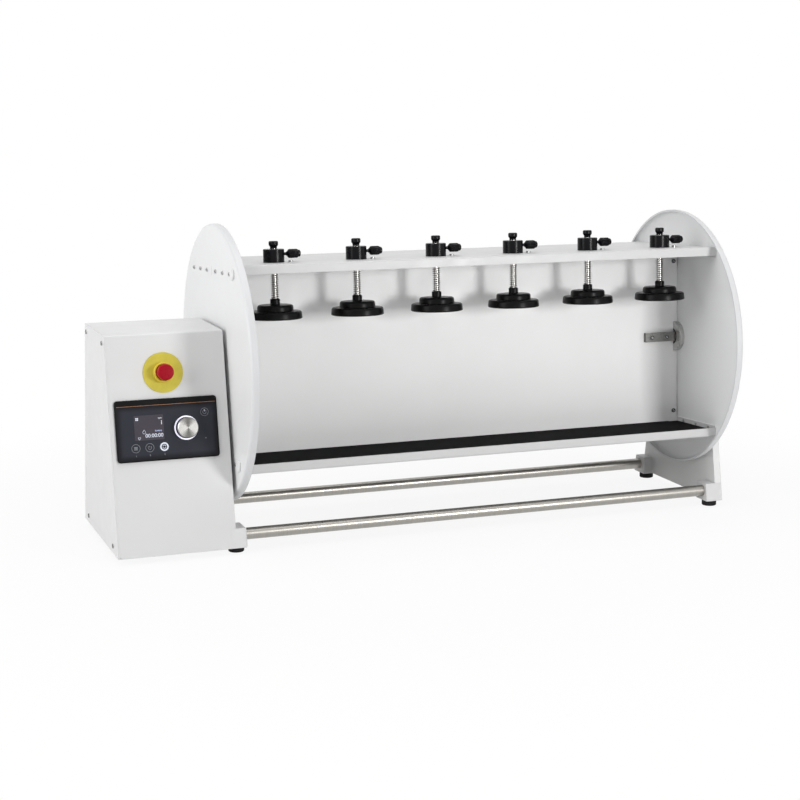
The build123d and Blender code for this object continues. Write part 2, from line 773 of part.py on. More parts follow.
def stand():
    """Folded stand, open on its outer side, that carries the right bearing."""
    body = stand_outline(0, stand_inner, stand_thickness)
    body -= stand_outline(sheet, stand_inner + sheet, stand_thickness)
    body -= x_rod(stand_inner, stand_inner + sheet, shaft_radius + shaft_clearance, 0, axis_height)
    for side in (-1, 1):
        body -= right_foot_block(side)
    return body


def stand_cover():
    """Cover plate in the stand's outer side."""
    plate = stand_outline(sheet, stand_outer - sheet, sheet)
    for side in (-1, 1):
        plate -= right_foot_block(side)
    return plate


def bearings():
    """Flanged shaft bearings on the housing's right wall and in the stand."""
    bodies = []
    ends = ((bearing_left, housing_right - sheet), (stand_inner + sheet, stand_outer - sheet))
    for x0, x1 in ends:
        ring = x_rod(x0, x1, bearing_radius, 0, axis_height)
        bodies.append(ring - x_rod(x0, x1, shaft_radius + slip_gap, 0, axis_height))
    return bodies


# ---------------------------------------------------------------- drive
def pulley(radius, bore, height, x0, x1):
    """Flat belt pulley with two lips."""
    body = x_rod(x0, x1, radius, 0, height)
    edge = (pulley_width - belt_width - 2 * belt_gap) / 2
    for a, b in ((x0, x0 + edge), (x1 - edge, x1)):
        body += x_rod(a, b, radius + pulley_lip, 0, height)
    return body - x_rod(x0, x1, bore, 0, height)


def belt():
    """Endless flat belt around both pulleys."""
    middle = (pulley_left + pulley_right) / 2
    loops = []
    for extra in (belt_gap + belt_thickness, belt_gap):
        upper = Pos(0, axis_height) * Circle(driven_pulley_radius + extra)
        lower = Pos(0, motor_height) * Circle(motor_pulley_radius + extra)
        hull = make_hull(upper.edges() + lower.edges())
        loops.append(hull)
    ring = loops[0] - loops[1]
    plane = Plane(origin=(middle, 0, 0), x_dir=(0, 1, 0), z_dir=(1, 0, 0))
    return extrude(plane * ring, belt_width / 2, both=True)


def gearmotor():
    """Gear motor below the rotor shaft, with its output shaft towards the pulley."""
    x1 = pulley_left - gearbox_gap
    x0 = x1 - gearbox_length
    half = gearbox_size / 2
    box = block(x0, x1, -half, half, motor_height - half, motor_height + half)
    box = fillet(box.edges().filter_by(Axis.X), gearbox_round)
    motor = x_rod(x0 - motor_length, x0, motor_radius, 0, motor_height)
    body = box + motor
    bore = motor_shaft_radius + slip_gap
    return body - x_rod(x1 - gearbox_length * motor_shaft_share, x1, bore, 0, motor_height)


def motor_bracket():
    """Angle that carries the gear motor on the base plate."""
    x1 = pulley_left - gearbox_gap
    x0 = x1 - gearbox_length
    half = gearbox_size / 2
    floor = foot_height + sheet
    under = motor_height - half
    body = block(x0, x1, -half, half, under - bracket_thickness, under)
    for y0, y1 in ((-half, bracket_thickness - half), (half - bracket_thickness, half)):
        body += block(x0, x1, y0, y1, floor, under)
    for side in (-1, 1):
        y0, y1 = sorted((side * (half - bracket_thickness), side * (half + bracket_foot)))
        body += block(x0, x1, y0, y1, floor, floor + bracket_thickness)
    return body


def motor_pulley():
    """Small pulley on the gear motor's output shaft."""
    x1 = pulley_left - gearbox_gap
    shaft_start = x1 - gearbox_length * motor_shaft_share + motor_shaft_play
    wheel = pulley(motor_pulley_radius, motor_shaft_radius, motor_height, pulley_left, pulley_right)
    return wheel + x_rod(shaft_start, pulley_right, motor_shaft_radius, 0, motor_height)


# ---------------------------------------------------------------- screws of the rotor
def rotor_screws():
    """Disc, partition, shaft and clamp screws, about the rotor axis."""
    grip = 2 * sheet + screw_point
    bodies = []
    for x, turn in ((rotor_left, -90), (rotor_right, 90)):
        for level in (-disc_screw_level, disc_screw_level):
            for row in disc_screw_rows:
                for y in (-row, row):
                    pin = screw(disc_screw_head, screw_head, screw_radius, grip)
                    bodies.append(Pos(x, y, level) * Rot(0, turn, 0) * pin)
    half = partition_thickness / 2
    for x, z in corner_screw_places():
        grip = partition_thickness + sheet + screw_point
        pin = screw(screw_head_radius, screw_head, screw_radius, grip)
        bodies.append(Pos(x, -half, z) * Rot(90, 0, 0) * pin)
    for x, z in tongue_screw_places():
        pin = screw(screw_head_radius, screw_head, screw_radius, tongue_front + half + screw_point)
        bodies.append(Pos(x, -tongue_front, z) * Rot(90, 0, 0) * pin)
    for row in (1, -1):
        for x in clamp_places:
            pin = screw(screw_head_radius, screw_head, screw_radius, sheet + screw_point)
            bodies.append(clamp_place(row, x) * Pos(clamp_screw_offset, 0, tray_height) * pin)
    return bodies


def disc_plugs():
    """Blanking plugs in the discs' outer faces, by the front edges of the trays."""
    bodies = []
    for x, turn in ((rotor_left, -90), (rotor_right, 90)):
        for level in (-disc_screw_level, disc_screw_level):
            rim = plug_radius - plug_edge
            plug = turned([(0, 0), (plug_radius, 0), (rim, plug_bulge), (0, plug_bulge)])
            bodies.append(Pos(x, -plug_offset, level) * Rot(0, turn, 0) * plug)
    return bodies


# ---------------------------------------------------------------- the assembly
parts = {}
parts["housing_shell"] = [housing_shell()]
parts["side_plate"] = [side_plate()]
parts["side_plate_screws"] = side_screws()
parts["base_plate"] = [base_plate()]
parts["foot_blocks"] = [left_foot_block(-1), left_foot_block(1)]
parts["base_rods"] = [base_rod(-1), base_rod(1)]
parts["rubber_feet"] = feet()
parts["stand"] = [stand()]
parts["stand_cover"] = [stand_cover()]
parts["shaft_bearings"] = bearings()
parts["gearmotor"] = [gearmotor(), motor_bracket()]
parts["motor_pulley"] = [motor_pulley()]
parts["drive_belt"] = [belt()]
parts["control_panel"] = [control_panel(), dial_seat()]
parts["light_ring"] = [light_ring()]
parts["dial_stem"] = [dial_stem()]
parts["dial"] = [dial()]
parts["stop_plate"] = [stop_plate()]
parts["stop_collar"] = [stop_collar()]
parts["stop_stem"] = [stop_stem()]
parts["stop_button"] = [stop_button()]
parts["mains_inlet"] = [inlet_module()]
parts["power_rocker"] = [rocker()]

left_shaft_end = pulley_left - shaft_end
right_shaft_end = stand_outer - sheet
rotor_nodes = {
    "left_disc": [disc(rotor_left, 1)],
    "right_disc": [disc(rotor_right, -1)],
    "top_tray": [tray(1)],
    "bottom_tray": [tray(-1)],
    "partition": [partition()],
    "bottle_mats": [mat(-1), mat(1)],
    "shaft_stubs": [shaft(rotor_left, 1, left_shaft_end), shaft(rotor_right, -1, right_shaft_end)],
    "hub_flanges": [hub(rotor_left, 1), hub(rotor_right, -1)],
    "driven_pulley": [pulley(driven_pulley_radius, shaft_radius, 0, pulley_left, pulley_right)],
    "rotor_screws": rotor_screws(),
    "disc_plugs": disc_plugs(),
    "clamp_bodies": [clamp_place(row, x) * clamp_body() for row in (1, -1) for x in clamp_places],
    "clamp_springs": [clamp_place(row, x) * spring() for row in (1, -1) for x in clamp_places],
}
for row, side in ((1, "front"), (-1, "rear")):
    for number, x in enumerate(clamp_places, start=1):
        place = clamp_place(row, x)
        rotor_nodes[f"plunger_{side}_{number}"] = [place * body for body in plunger()]
        rotor_nodes[f"thumbscrew_{side}_{number}"] = [place * thumbscrew()]
for name, bodies in rotor_nodes.items():
    parts[name] = [on_rotor(body) for body in bodies]
parts["foot_blocks"] += [right_foot_block(-1), right_foot_block(1)]
for index, body in enumerate(parts["foot_blocks"]):
    for side in (-1, 1):
        parts["foot_blocks"][index] = parts["foot_blocks"][index] - base_rod(side)

os.makedirs("parts", exist_ok=True)
for name, bodies in parts.items():
    solids = [solid for body in bodies for solid in body.solids()]
    shape = solids[0] if len(solids) == 1 else Compound(solids)
    export_step(shape, f"parts/{name}.step")
print(len(parts), "nodes")
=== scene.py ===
"""Looks of the overhead bottle rotator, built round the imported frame. Metres, +Z up, controls at -Y."""
import math
import bmesh
import bpy
from mathutils import Matrix, Vector


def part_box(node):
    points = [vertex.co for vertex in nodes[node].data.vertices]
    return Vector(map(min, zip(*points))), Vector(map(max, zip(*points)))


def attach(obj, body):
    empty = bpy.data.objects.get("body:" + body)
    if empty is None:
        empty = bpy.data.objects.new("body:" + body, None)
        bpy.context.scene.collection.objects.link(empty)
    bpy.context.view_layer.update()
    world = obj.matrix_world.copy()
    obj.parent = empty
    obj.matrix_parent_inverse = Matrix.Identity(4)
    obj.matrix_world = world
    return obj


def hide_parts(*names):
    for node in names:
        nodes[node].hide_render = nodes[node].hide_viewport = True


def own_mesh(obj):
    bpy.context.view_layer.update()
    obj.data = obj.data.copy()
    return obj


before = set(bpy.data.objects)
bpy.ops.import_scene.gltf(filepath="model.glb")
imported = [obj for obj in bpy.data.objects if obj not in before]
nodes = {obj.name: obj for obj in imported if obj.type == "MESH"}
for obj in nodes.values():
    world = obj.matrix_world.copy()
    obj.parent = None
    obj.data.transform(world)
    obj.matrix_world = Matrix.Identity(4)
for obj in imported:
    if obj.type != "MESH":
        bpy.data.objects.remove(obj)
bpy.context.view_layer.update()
MM = 0.001

# ---------------------------------------------------------------- places taken from the frame
housing_low, housing_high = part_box("housing_shell")
housing_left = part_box("side_plate")[0].x
housing_top = housing_high.z
top_front = -74 * MM      # front edge of the housing's flat top
slope_run = top_front - housing_low.y
slope_rise = housing_high.z - housing_low.z
disc_low, disc_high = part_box("left_disc")
axis_height = (disc_low.z + disc_high.z) / 2
park_angle = math.radians(-3)
clamp_offset = 76 * MM
clamp_count = 6
all_clamps = [(side, number) for side in ("front", "rear") for number in range(1, clamp_count + 1)]
panel_thickness = 3 * MM

slope_right = Vector((1, 0, 0))
slope_up = Vector((0, slope_run, slope_rise)).normalized()
slope_out = Vector((0, -slope_rise, slope_run)).normalized()

rotor_place = Matrix.Translation((0, 0, axis_height)) @ Matrix.Rotation(park_angle, 4, "X")
facing_left = Matrix.Rotation(-math.pi / 2, 4, "Y")
facing_right = Matrix.Rotation(math.pi / 2, 4, "Y")
facing_front = Matrix.Rotation(math.pi / 2, 4, "X")


def on_front(across, down, out=0.0):
    """Place on the sloping front, in millimetres: X to the right, Y up the slope, Z outwards."""
    corner = Vector((housing_left, top_front, housing_top))
    point = corner + slope_right * across * MM - slope_up * down * MM + slope_out * out * MM
    place = Matrix((slope_right, slope_up, slope_out)).transposed().to_4x4()
    place.translation = point
    return place


def at_clamp(side, x):
    """Place on the axis of a clamp, x in metres: Z points away from the rotor's axis."""
    turn = Matrix.Identity(4) if side == "front" else Matrix.Rotation(math.pi, 4, "X")
    return rotor_place @ turn @ Matrix.Translation((x, -clamp_offset, 0))


def clamp_x(side, number):
    """Where a clamp stands along the rotor, in metres."""
    low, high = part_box(f"plunger_{side}_{number}")
    return (low.x + high.x) / 2


def on_rotor(x, y, z, turn):
    """Place on the rotor in millimetres from its axis, x in metres; turn says where Z points."""
    return rotor_place @ Matrix.Translation((x, y * MM, z * MM)) @ turn


# ---------------------------------------------------------------- material helpers
class Look:
    """A Principled material with short calls for the nodes that feed it; bevel is a radius in metres."""

    def __init__(self, name, colour, roughness, metallic=0.0, bevel=0.0):
        self.material = bpy.data.materials.new(name)
        self.material.use_nodes = True
        self.tree = self.material.node_tree
        self.shader = self.tree.nodes["Principled BSDF"]
        self.shader.inputs["Base Color"].default_value = (*colour, 1)
        self.shader.inputs["Roughness"].default_value = roughness
        self.shader.inputs["Metallic"].default_value = metallic
        self.colour = colour
        self.normal = None
        if bevel:
            rounded = self.node("ShaderNodeBevel")
            rounded.samples = 4
            rounded.inputs["Radius"].default_value = bevel
            self.normal = rounded.outputs["Normal"]
            self.link(self.normal, self.shader.inputs["Normal"])

    def node(self, kind):
        return self.tree.nodes.new(kind)

    def link(self, source, target):
        self.tree.links.new(source, target)

    def coordinates(self, stretch=(1, 1, 1)):
        """Object coordinates, stretched."""
        source = self.node("ShaderNodeTexCoord")
        mapping = self.node("ShaderNodeMapping")
        mapping.inputs["Scale"].default_value = stretch
        self.link(source.outputs["Object"], mapping.inputs["Vector"])
        return mapping.outputs["Vector"]

    def separate(self, vector):
        """The X, Y and Z outputs of a vector."""
        parts = self.node("ShaderNodeSeparateXYZ")
        self.link(vector, parts.inputs["Vector"])
        return parts.outputs

    def calculate(self, kind, operation, inputs):
        """Outputs of a maths node; each input is a socket or a constant."""
        maths = self.node(kind)
        maths.operation = operation
        for target, value in zip(maths.inputs, inputs):
            if isinstance(value, bpy.types.NodeSocket):
                self.link(value, target)
            else:
                target.default_value = value
        return maths.outputs

    def number(self, operation, *inputs):
        return self.calculate("ShaderNodeMath", operation, inputs)["Value"]

    def vector(self, operation, *inputs):
        return self.calculate("ShaderNodeVectorMath", operation, inputs)["Vector"]

    def length(self, vector):
        return self.calculate("ShaderNodeVectorMath", "LENGTH", (vector,))["Value"]

    def noise(self, scale, detail=2.0, stretch=(1, 1, 1), roughness=0.5):
        noise = self.node("ShaderNodeTexNoise")
        noise.inputs["Scale"].default_value = scale
        noise.inputs["Detail"].default_value = detail
        noise.inputs["Roughness"].default_value = roughness
        self.link(self.coordinates(stretch), noise.inputs["Vector"])
        return noise.outputs["Fac"]

    def cells(self, scale):
        voronoi = self.node("ShaderNodeTexVoronoi")
        voronoi.inputs["Scale"].default_value = scale
        self.link(self.coordinates(), voronoi.inputs["Vector"])
        return voronoi.outputs["Distance"]

    def between(self, value, low, high, start=0.3, end=0.7):
        """Maps a 0 to 1 value to a range."""
        ramp = self.node("ShaderNodeMapRange")
        ramp.inputs["From Min"].default_value = start
        ramp.inputs["From Max"].default_value = end
        ramp.inputs["To Min"].default_value = low
        ramp.inputs["To Max"].default_value = high
        self.link(value, ramp.inputs["Value"])
        return ramp.outputs["Result"]

    def tint(self, value, other):
        """Moves the base colour from the material's own to another as a value goes from 0 to 1."""
        mix = self.node("ShaderNodeMix")
        mix.data_type = "RGBA"
        mix.inputs["A"].default_value = (*self.colour, 1)
        mix.inputs["B"].default_value = (*other, 1)
        self.link(value, mix.inputs["Factor"])
        self.link(mix.outputs["Result"], self.shader.inputs["Base Color"])
        return self

    def roughen(self, value, low, high):
        """Roughness between two limits."""
        self.link(self.between(value, low, high), self.shader.inputs["Roughness"])
        return self

    def bump(self, value, strength, distance):
        """Bump on top of the bevel or an earlier bump, distance in metres."""
        bump = self.node("ShaderNodeBump")
        bump.inputs["Strength"].default_value = strength
        bump.inputs["Distance"].default_value = distance
        self.link(value, bump.inputs["Height"])
        if self.normal:
            self.link(self.normal, bump.inputs["Normal"])
        self.normal = bump.outputs["Normal"]
        self.link(self.normal, self.shader.inputs["Normal"])
        return self

    def set(self, name, value):
        self.shader.inputs[name].default_value = value
        return self


# ---------------------------------------------------------------- materials
def orange_peel(look):
    """Satin face with the fine ripples of powder coat."""
    look.roughen(look.noise(40, 4), 0.34, 0.46)
    return look.bump(look.noise(1100, 2), 0.10, 0.05 * MM).material


def powder_coat(name, colour):
    """Powder coat on folded sheet, a little uneven in tone."""
    look = Look(name, colour, 0.4, bevel=0.8 * MM)
    faded = tuple(c * 0.965 for c in colour)
    look.tint(look.between(look.noise(6, 3), 0, 1), faded)
    return orange_peel(look)


def disc_coat(name, colour, edge):
    """Powder coat with painted shade: darker round the discs' edges, where their rims turn from the light.
    """
    look = Look(name, colour, 0.4, bevel=0.8 * MM)
    from_axis = look.vector("MULTIPLY_ADD", look.coordinates(), (0, 1, 1), (0, 0, -axis_height))
    rim = (disc_high.y - disc_low.y) / 2
    # Painted shade: the colour turns to the darker edge colour over the last millimetres to the rim.
    painted_rim_shade = look.between(look.length(from_axis), 0, 1, rim - 3.5 * MM, rim - 1.5 * MM)
    look.tint(painted_rim_shade, edge)
    return orange_peel(look)


def brushed(name, colour, roughness, stretch, grain=0.25):
    """Metal with fine marks; stretch is large across the marks and small along them."""
    look = Look(name, colour, roughness, metallic=1.0, bevel=0.3 * MM)
    marks = look.noise(1, 4, stretch, 0.7)
    darker = tuple(c * 0.78 for c in colour)
    look.tint(look.between(marks, 0, 1), darker)
    look.roughen(marks, roughness * 0.75, roughness * 1.3)
    return look.bump(marks, grain, 0.02 * MM).material


def moulded(name, colour, roughness, grain=0.15, shine=0.5):
    """Moulded plastic with a fine spark-eroded grain."""
    look = Look(name, colour, roughness, bevel=0.4 * MM)
    look.set("Specular IOR Level", shine)
    lighter = tuple(min(1.0, c * 1.12 + 0.001) for c in colour)
    look.tint(look.between(look.noise(90, 3), 0, 1), lighter)
    look.roughen(look.noise(300, 3), roughness * 0.85, roughness * 1.2)
    return look.bump(look.noise(2600, 2), grain, 0.05 * MM).material


def rubber(name, colour):
    """Dull rubber with a rough face."""
    look = Look(name, colour, 0.8, bevel=0.4 * MM)
    look.set("Specular IOR Level", 0.2)
    look.tint(look.between(look.noise(60, 4), 0, 1), tuple(c * 1.8 for c in colour))
    return look.bump(look.noise(1500, 3), 0.3, 0.1 * MM).material


def foam(name, colour):
    """Closed-cell foam: small dimples and a dull face."""
    look = Look(name, colour, 0.95, bevel=0.6 * MM)
    look.set("Specular IOR Level", 0.08)
    cells = look.cells(700)
    look.tint(look.between(cells, 1, 0, 0.1, 0.6), tuple(c * 1.8 for c in colour))
    return look.bump(cells, 0.5, 0.25 * MM).material


def glass_panel(name, colour):
    """Dark printed glass with an anti-glare face."""
    look = Look(name, colour, 0.25)
    look.roughen(look.noise(25, 3), 0.2, 0.32)
    return look.set("Specular IOR Level", 0.12).material


def faded_field(name, colour, edge, half_width, half_height, fade):
    """Printed field that darkens towards its edges; sizes in metres."""
    look = Look(name, edge, 0.25)
    place = look.separate(look.coordinates())
    shares = []
    for axis, half in (("X", half_width), ("Y", half_height)):
        share = look.node("ShaderNodeMapRange")
        share.interpolation_type = "SMOOTHSTEP"
        share.inputs["From Min"].default_value = half
        share.inputs["From Max"].default_value = half - fade
        look.link(look.number("ABSOLUTE", place[axis]), share.inputs["Value"])
        shares.append(share.outputs["Result"])
    look.tint(look.number("MULTIPLY", *shares), colour)
    return look.set("Specular IOR Level", 0.12).material


def printed(name, colour, glow):
    """Ink or a lit pixel behind the glass."""
    look = Look(name, colour, 0.3)
    look.tint(look.between(look.noise(500, 2), 0, 1), tuple(c * 0.9 for c in colour))
    look.set("Emission Color", (*colour, 1)).set("Emission Strength", glow)
    return look.material


def spun_aluminium(name, colour, shade):
    """Aluminium turned about local Z: fine rings, and two darker wedges on the face, a painted reflection
    fixed to the dial.
    """
    look = Look(name, colour, 0.28, metallic=1.0)
    place = look.coordinates()
    rings = look.node("ShaderNodeTexNoise")
    rings.noise_dimensions = "1D"
    rings.inputs["Scale"].default_value = 4200
    rings.inputs["Detail"].default_value = 3
    look.link(look.length(look.vector("MULTIPLY", place, (1, 1, 0))), rings.inputs["W"])
    # Painted reflection: dark wedges along local Y and bright ones along X, as on turned metal.
    across = look.separate(place)
    angle = look.number("ARCTAN2", across["Y"], across["X"])
    painted_bow_tie = look.number("COSINE", look.number("MULTIPLY", angle, 2))
    look.tint(look.between(painted_bow_tie, 1, 0, -1, 0.5), shade)
    look.roughen(rings.outputs["Fac"], 0.22, 0.36)
    return look.bump(rings.outputs["Fac"], 0.25, 0.03 * MM).material


# One white powder coat in copies of different brightness: the stand and partition copies are lighter,
# painted light for the shade they stand in, and the tray copy is darker, painted shade.
white = powder_coat("white_coat", (0.69, 0.69, 0.69))
# The disc coat's last colour is painted shade round the discs' rims.
disc_white = disc_coat("disc_coat", (0.775, 0.78, 0.785), (0.66, 0.665, 0.675))
stand_white_lit = powder_coat("stand_coat_lit", (0.80, 0.80, 0.795))
tray_white_shaded = powder_coat("tray_coat_shaded", (0.60, 0.60, 0.60))
partition_white_lit = powder_coat("partition_coat_lit", (0.93, 0.93, 0.925))
rod_steel = brushed("rod_steel", (0.40, 0.385, 0.355), 0.34, (900, 3, 3), grain=0.0)
shaft_steel = brushed("shaft_steel", (0.62, 0.62, 0.61), 0.28, (700, 20, 20))
tongue_steel = brushed("tongue_steel", (0.24, 0.24, 0.23), 0.36, (260, 260, 260), grain=0.8)
spring_steel = brushed("spring_wire", (0.12, 0.115, 0.105), 0.3, (30, 30, 900))
clamp_steel = brushed("clamp_rod_steel", (0.50, 0.49, 0.47), 0.22, (20, 20, 900))
screw_steel = brushed("screw_zinc", (0.55, 0.55, 0.55), 0.32, (300, 300, 300))
black_screw = brushed("screw_black", (0.05, 0.05, 0.05), 0.4, (300, 300, 300))
# Painted shade at the front of the discs' plugs, and the dark of the fine slots.
shade_and_seam_grey = moulded("shade_and_seam_grey", (0.09, 0.09, 0.09), 0.6, shine=0.1)
# Painted shade for screw sockets, slots and bevels, and for the rings round the shaft stubs.
recess_shade_black = moulded("recess_shade_black", (0.006, 0.006, 0.006), 0.6, shine=0.1)
iron = moulded("bearing_iron", (0.22, 0.225, 0.23), 0.5)
motor_paint = moulded("motor_paint", (0.06, 0.065, 0.07), 0.45)
clamp_black = moulded("clamp_black", (0.002, 0.002, 0.003), 0.24, 0.0, shine=0.13)
pad_black = moulded("pad_black", (0.003, 0.003, 0.003), 0.3, 0.08, shine=0.1)
knob_black = moulded("knob_black", (0.002, 0.002, 0.003), 0.24, 0.02, shine=0.13)
inlet_black = moulded("inlet_black", (0.012, 0.012, 0.013), 0.45, shine=0.3)
foot_rubber = rubber("foot_rubber", (0.012, 0.012, 0.012))
belt_rubber = rubber("belt_rubber", (0.02, 0.02, 0.02))
mat_foam = foam("mat_foam", (0.004, 0.004, 0.004))
panel_glass = glass_panel("panel_glass", (0.003, 0.003, 0.003))
field_glass = faded_field("field_glass", (0.031, 0.033, 0.043), (0.012, 0.012, 0.015),
                          74 * MM, 39 * MM, 9 * MM)
screen_glass = glass_panel("screen_glass", (0.066, 0.058, 0.072))
ink_white = printed("ink_white", (0.72, 0.76, 0.85), 0.12)
ink_grey = printed("ink_grey", (0.24, 0.25, 0.28), 0.0)
ink_grey_blue = printed("ink_grey_blue", (0.42, 0.48, 0.75), 0.2)
ink_orange = printed("ink_orange", (0.36, 0.15, 0.07), 0.02)
ring_lit = printed("ring_lit", (0.88, 0.86, 1.0), 0.6)
stop_yellow = moulded("stop_yellow", (0.54, 0.46, 0.06), 0.42, 0.02, shine=0.2)
collar_yellow = moulded("collar_yellow", (0.60, 0.44, 0.03), 0.35, 0.03, shine=0.3)
stop_red = moulded("stop_red", (0.31, 0.002, 0.012), 0.3, 0.02, shine=0.12)
# The dial's second colour is a painted reflection, for the face's dark wedges.
dial_metal = spun_aluminium("dial_metal", (0.44, 0.435, 0.415), (0.12, 0.117, 0.11))
dial_black = moulded("dial_black", (0.006, 0.005, 0.010), 0.35, shine=0.2)

node_looks = {
    "housing_shell": white, "side_plate": white, "base_plate": white, "foot_blocks": white,
    "stand": stand_white_lit, "stand_cover": stand_white_lit, "left_disc": disc_white, "right_disc": disc_white,
    "top_tray": tray_white_shaded, "bottom_tray": tray_white_shaded, "partition": partition_white_lit,
    "disc_plugs": disc_white,
    "base_rods": rod_steel, "shaft_stubs": tongue_steel, "hub_flanges": shaft_steel,
    "rubber_feet": foot_rubber, "drive_belt": belt_rubber, "bottle_mats": mat_foam,
    "shaft_bearings": iron, "gearmotor": motor_paint, "motor_pulley": shaft_steel,
    "driven_pulley": shaft_steel, "control_panel": panel_glass, "light_ring": ring_lit,
    "dial_stem": shaft_steel, "stop_plate": stop_yellow, "stop_collar": collar_yellow,
    "stop_stem": inlet_black, "stop_button": stop_red, "mains_inlet": inlet_black,
    "power_rocker": clamp_black, "side_plate_screws": black_screw, "rotor_screws": screw_steel,
    "clamp_bodies": clamp_black,
}


sharp_angle = math.radians(32)      # edges above this stay sharp


def smoothing_group():
    """Geometry nodes that shade a meshed node smooth, except over sharp edges."""
    group = bpy.data.node_groups.new("smooth_round", "GeometryNodeTree")
    group.interface.new_socket("Geometry", in_out="INPUT", socket_type="NodeSocketGeometry")
    group.interface.new_socket("Geometry", in_out="OUTPUT", socket_type="NodeSocketGeometry")
    start = group.nodes.new("NodeGroupInput")
    end = group.nodes.new("NodeGroupOutput")
    merge = group.nodes.new("GeometryNodeMergeByDistance")
    merge.inputs["Distance"].default_value = 0.002 * MM
    faces = group.nodes.new("GeometryNodeSetShadeSmooth")
    edges = group.nodes.new("GeometryNodeSetShadeSmooth")
    edges.domain = "EDGE"
    edges.inputs["Shade Smooth"].default_value = False
    angle = group.nodes.new("GeometryNodeInputMeshEdgeAngle")
    sharp = group.nodes.new("FunctionNodeCompare")
    sharp.operation = "GREATER_THAN"
    sharp.inputs[1].default_value = sharp_angle
    group.links.new(start.outputs[0], merge.inputs["Geometry"])
    group.links.new(merge.outputs["Geometry"], faces.inputs["Geometry"])
    group.links.new(faces.outputs["Geometry"], edges.inputs["Geometry"])
    group.links.new(angle.outputs["Unsigned Angle"], sharp.inputs[0])
    group.links.new(sharp.outputs["Result"], edges.inputs["Selection"])
    group.links.new(edges.outputs["Geometry"], end.inputs[0])
    return group


def dress_nodes():
    """Gives the CAD nodes their materials and smooth round faces."""
    group = smoothing_group()
    for name, look in node_looks.items():
        node = nodes[name]
        node.data.materials.clear()
        node.data.materials.append(look)
        smooth = node.modifiers.new("smooth_round", "NODES")
        smooth.node_group = group


# ---------------------------------------------------------------- mesh helpers
def piece(name, bm, look, body, place=None):
    """Makes an object from a bmesh, with smooth faces and sharp corners, riding on a body."""
    bmesh.ops.recalc_face_normals(bm, faces=bm.faces)
    for face in bm.faces:
        face.smooth = True
    for edge in bm.edges:
        edge.smooth = len(edge.link_faces) == 2 and edge.calc_face_angle(0) < sharp_angle
    mesh = bpy.data.meshes.new(name)
    bm.to_mesh(mesh)
    bm.free()
    return piece_of(name, mesh, look, body, place)


def piece_of(name, mesh, look, body, place=None):
    """Makes an object of a mesh, which several objects may share, riding on a body."""
    mesh.materials.clear()
    mesh.materials.append(look)
    obj = bpy.data.objects.new(name, mesh)
    bpy.context.scene.collection.objects.link(obj)
    if place is not None:
        obj.matrix_world = place
    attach(obj, body)
    return obj


def round_point(radius, angle, height):
    return radius * math.cos(angle), radius * math.sin(angle), height


def sleeve(bm, rings):
    """Quads between successive rings of as many vertices each."""
    for low, high in zip(rings, rings[1:]):
        for i in range(len(low)):
            j = (i + 1) % len(low)
            bm.faces.new((low[i], low[j], high[j], high[i]))


def prism(bm, low, high):
    """Closed prism between two outlines of vertices."""
    bm.faces.new(low)
    bm.faces.new(high)
    sleeve(bm, (low, high))


def turned(profile, segments=64):
    """bmesh turned about Z from (radius, height) points, in millimetres."""
    bm = bmesh.new()
    rings = []
    for radius, height in profile:
        if radius < 1e-6:
            rings.append([bm.verts.new((0, 0, height * MM))])
            continue
        ring = []
        for i in range(segments):
            a = 2 * math.pi * i / segments
            ring.append(bm.verts.new(round_point(radius * MM, a, height * MM)))
        rings.append(ring)
    for low, high in zip(rings, rings[1:]):
        for i in range(segments):
            j = (i + 1) % segments
            corners = [low[i % len(low)], low[j % len(low)], high[j % len(high)], high[i % len(high)]]
            unique = list(dict.fromkeys(corners))
            if len(unique) > 2:
                bm.faces.new(unique)
    return bm


def rounded(points, radius_at, steps=4):
    """Rounds a profile's corners; radius_at says by a corner's index how far back its curve starts."""
    result = []
    for i, (r, z) in enumerate(points):
        radius = radius_at.get(i)
        if not radius:
            result.append((r, z))
            continue
        here = Vector((r, z))
        before = (Vector(points[i - 1]) - here).normalized()
        after = (Vector(points[i + 1]) - here).normalized()
        start, end = here + before * radius, here + after * radius
        for k in range(steps + 1):
            t = k / steps
            point = start * (1 - t) ** 2 + here * 2 * t * (1 - t) + end * t ** 2
            result.append((point.x, point.y))
    return result


def flat_disc(outer, inner=0.0, thickness=0.1, segments=48):
    """Thin ring or disc from z 0 up, in millimetres."""
    profile = [(inner, 0), (outer, 0), (outer, thickness), (inner, thickness)]
    return turned(profile + [(inner, 0)] if inner else profile, segments)


def slab(width, height, corner=0.0, thickness=0.1):
    """Thin plate about the origin with rounded corners, from z 0 up, in millimetres."""
    bm = bmesh.new()
    outline = []
    for quarter, (sx, sy) in enumerate(((1, 1), (-1, 1), (-1, -1), (1, -1))):
        centre = Vector((sx * (width / 2 - corner), sy * (height / 2 - corner)))
        steps = 6 if corner else 0
        for k in range(steps + 1):
            a = math.pi / 2 * (quarter + (k / steps if steps else 0.5))
            outline.append(centre + Vector((math.cos(a), math.sin(a))) * corner)
    low = [bm.verts.new((p.x * MM, p.y * MM, 0)) for p in outline]
    high = [bm.verts.new((p.x * MM, p.y * MM, thickness * MM)) for p in outline]
    prism(bm, low, high)
    return bm


def stroke(points, width, thickness=0.05, closed=False):
    """Line of even width through points, from z 0 up, in millimetres."""
    bm = bmesh.new()
    ends = zip(points, points[1:] + points[:1] if closed else points[1:])
    for one, two in ends:
        start, end = Vector((*one, 0)), Vector((*two, 0))
        along = (end - start).normalized() * width / 2
        aside = Vector((-along.y, along.x, 0))
        outline = (start - along - aside, end + along - aside, end + along + aside, start - along + aside)
        rise = Vector((0, 0, thickness))
        low = [bm.verts.new(p * MM) for p in outline]
        high = [bm.verts.new((p + rise) * MM) for p in outline]
        prism(bm, low, high)
    return bm


def circle(radius, start=0, end=360, steps=16):
    """Points on an arc, in millimetres and degrees."""
    angles = [math.radians(start + (end - start) * k / steps) for k in range(steps + 1)]
    return [(radius * math.cos(a), radius * math.sin(a)) for a in angles]


